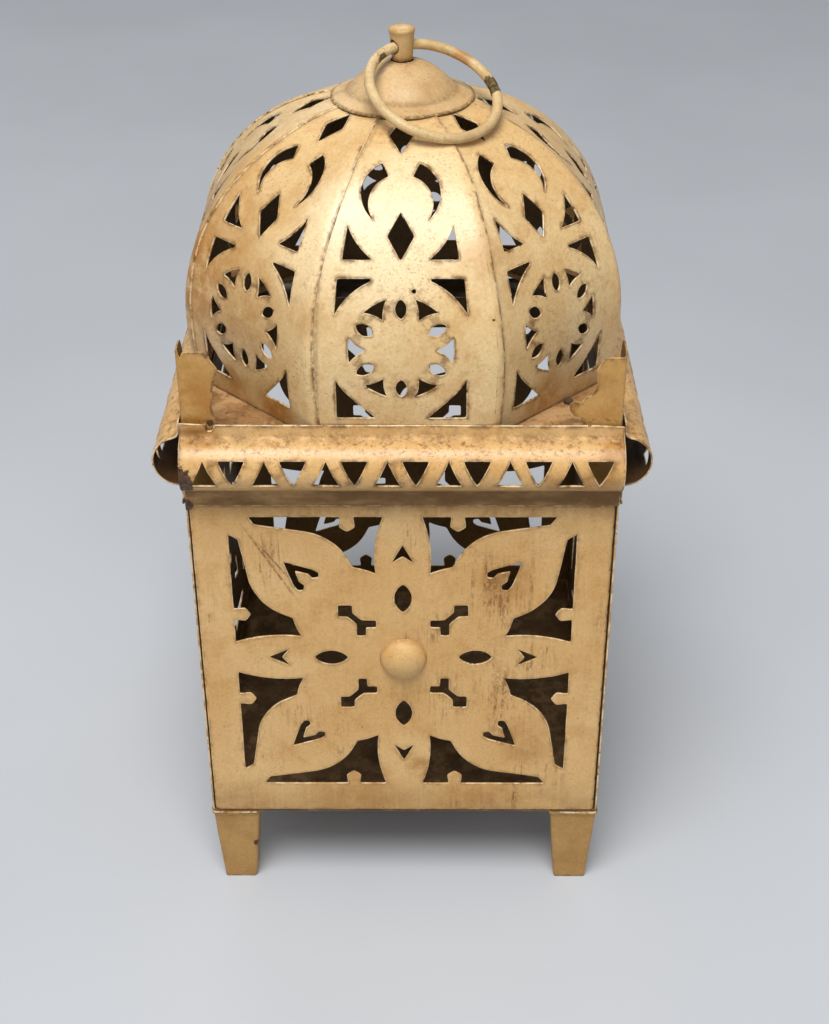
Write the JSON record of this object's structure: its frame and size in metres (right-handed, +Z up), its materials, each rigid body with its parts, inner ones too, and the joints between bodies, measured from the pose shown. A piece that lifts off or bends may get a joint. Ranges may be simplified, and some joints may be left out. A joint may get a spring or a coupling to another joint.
{
  "type": "candle lantern",
  "caption": "Square pierced-metal candle lantern on tapered feet, with a hinged door, a rolled cornice, a pierced dome and a hanging ring.",
  "frame": {"origin": "centre of the lantern on the surface it stands on", "axes": "+Z up, -Y out of the door, +X to the door's right as seen from outside"},
  "size_m": [0.1108, 0.1108, 0.2098],
  "materials": {
    "body_paint": "satin cream paint, distressed",
    "dome_paint": "satin cream paint, distressed",
    "aged_steel": "thin stained paint over brown steel",
    "wire": "dull steel wire"
  },
  "bodies": {
    "root": {"base_tray": "aged_steel", "foot_front_left": "body_paint", "foot_front_right": "body_paint", "foot_rear_left": "body_paint", "foot_rear_right": "body_paint", "hinge_rod": "wire", "hinge_bracket": "aged_steel", "left_panel": "body_paint", "right_panel": "body_paint", "rear_panel": "body_paint", "left_boss": "body_paint", "right_boss": "body_paint", "rear_boss": "body_paint", "cornice_front": "body_paint", "cornice_rear": "body_paint", "cornice_left": "body_paint", "cornice_right": "body_paint", "post_front_left": "body_paint", "post_front_right": "body_paint", "post_rear_left": "body_paint", "post_rear_right": "body_paint", "top_plate": "aged_steel", "plate_rivets": "aged_steel", "gore_front": "dome_paint", "gore_front_right": "dome_paint", "gore_right": "dome_paint", "gore_rear_right": "dome_paint", "gore_rear": "dome_paint", "gore_rear_left": "dome_paint", "gore_left": "dome_paint", "gore_front_left": "dome_paint", "dome_cap": "dome_paint", "crown_washer": "aged_steel", "finial": "dome_paint"},
    "door": {"front_door": "body_paint", "door_knob": "body_paint"},
    "ring": {"hang_ring": "dome_paint"}
  },
  "joints": [
    {"name": "door_hinge", "type": "hinge", "parent": "root", "child": "door", "pos_m": [0.0471, -0.0479, 0.07], "axis": [0, 0, 1], "range_deg": [0, 105]},
    {"name": "ring_swing", "type": "hinge", "parent": "root", "child": "ring", "pos_m": [0, 0, 0.2056], "axis": [-0.8387, -0.5446, 0], "range_deg": [0, 234]}
  ]
}
